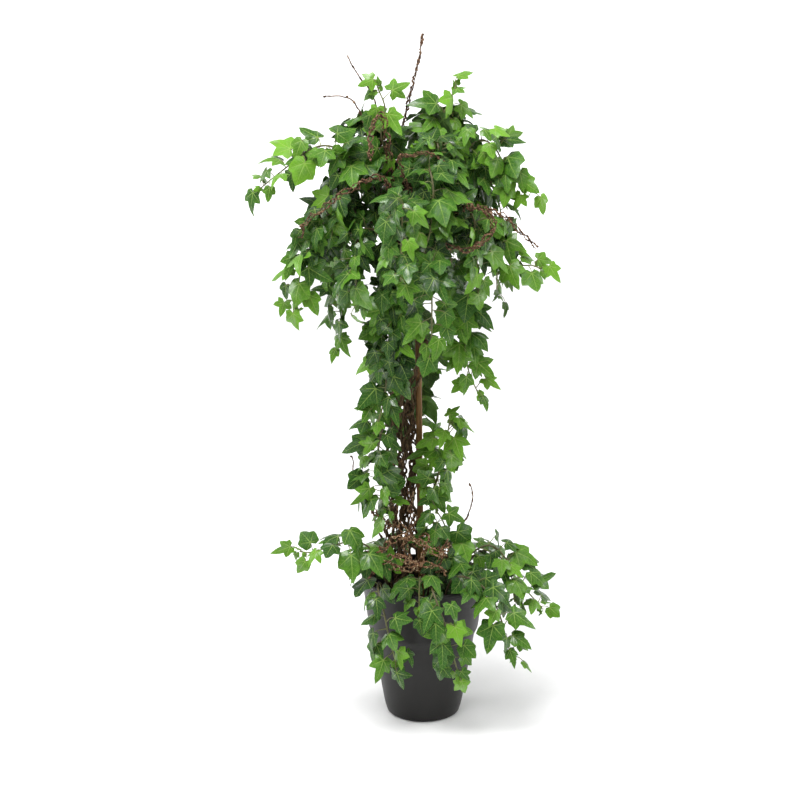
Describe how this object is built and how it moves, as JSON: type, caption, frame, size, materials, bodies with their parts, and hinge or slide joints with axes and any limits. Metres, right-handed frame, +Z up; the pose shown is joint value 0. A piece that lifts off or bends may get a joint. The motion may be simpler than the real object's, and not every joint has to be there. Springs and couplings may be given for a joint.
{
  "type": "potted ivy",
  "caption": "Ivy trained as a small tree: a round leafy head and a leafy skirt on a stake with twisted woody stems, standing in soil in a dark tapered pot.",
  "frame": {"origin": "centre of the pot's underside, on the surface the pot stands on", "axes": "+Z up along the pot's axis, +X to the right and -Y to the front"},
  "size_m": [0.3311, 0.3304, 0.7363],
  "materials": {
    "pot_plastic": "satin",
    "soil": "matte",
    "stake_wood": "satin",
    "woody_bark": "matte",
    "papery_twig": "matte",
    "ivy_leaf": "satin"
  },
  "bodies": {
    "root": {"pot": "pot_plastic", "soil": "soil", "stake": "stake_wood", "woody_stem_1": "woody_bark", "woody_stem_2": "woody_bark", "woody_stem_3": "woody_bark", "crown_knot": "woody_bark", "twig_arm_left": "papery_twig", "twig_front": "papery_twig", "twig_loop_right": "papery_twig", "twig_loop_upper": "papery_twig", "twig_right_down": "papery_twig", "twig_tangle": "papery_twig", "twig_top_left": "papery_twig", "twig_top_small": "papery_twig", "twig_top_tall": "papery_twig", "twig_trunk_left": "papery_twig", "twig_trunk_right": "papery_twig", "vine_cascade": "ivy_leaf", "vine_crown_01": "ivy_leaf", "vine_crown_02": "ivy_leaf", "vine_crown_03": "ivy_leaf", "vine_crown_04": "ivy_leaf", "vine_crown_05": "ivy_leaf", "vine_crown_06": "ivy_leaf", "vine_crown_07": "ivy_leaf", "vine_crown_08": "ivy_leaf", "vine_crown_09": "ivy_leaf", "vine_crown_10": "ivy_leaf", "vine_crown_11": "ivy_leaf", "vine_crown_12": "ivy_leaf", "vine_crown_13": "ivy_leaf", "vine_crown_14": "ivy_leaf", "vine_crown_15": "ivy_leaf", "vine_crown_16": "ivy_leaf", "vine_crown_17": "ivy_leaf", "vine_crown_18": "ivy_leaf", "vine_front_face": "ivy_leaf", "vine_hanging_left": "ivy_leaf", "vine_hanging_right": "ivy_leaf", "vine_skirt_1": "ivy_leaf", "vine_skirt_2": "ivy_leaf", "vine_skirt_3": "ivy_leaf", "vine_skirt_4": "ivy_leaf", "vine_skirt_5": "ivy_leaf", "vine_skirt_6": "ivy_leaf", "vine_spray_left": "ivy_leaf", "vine_spray_low_left": "ivy_leaf", "vine_spray_low_right": "ivy_leaf", "vine_spray_right": "ivy_leaf", "vine_spray_upper_right": "ivy_leaf", "vine_top_left": "ivy_leaf", "vine_top_right": "ivy_leaf", "vine_trail_front": "ivy_leaf", "vine_trail_left": "ivy_leaf", "vine_trail_right": "ivy_leaf", "vine_trunk_back": "ivy_leaf", "vine_trunk_foot": "ivy_leaf", "vine_trunk_left": "ivy_leaf", "vine_trunk_right": "ivy_leaf"}
  },
  "joints": []
}
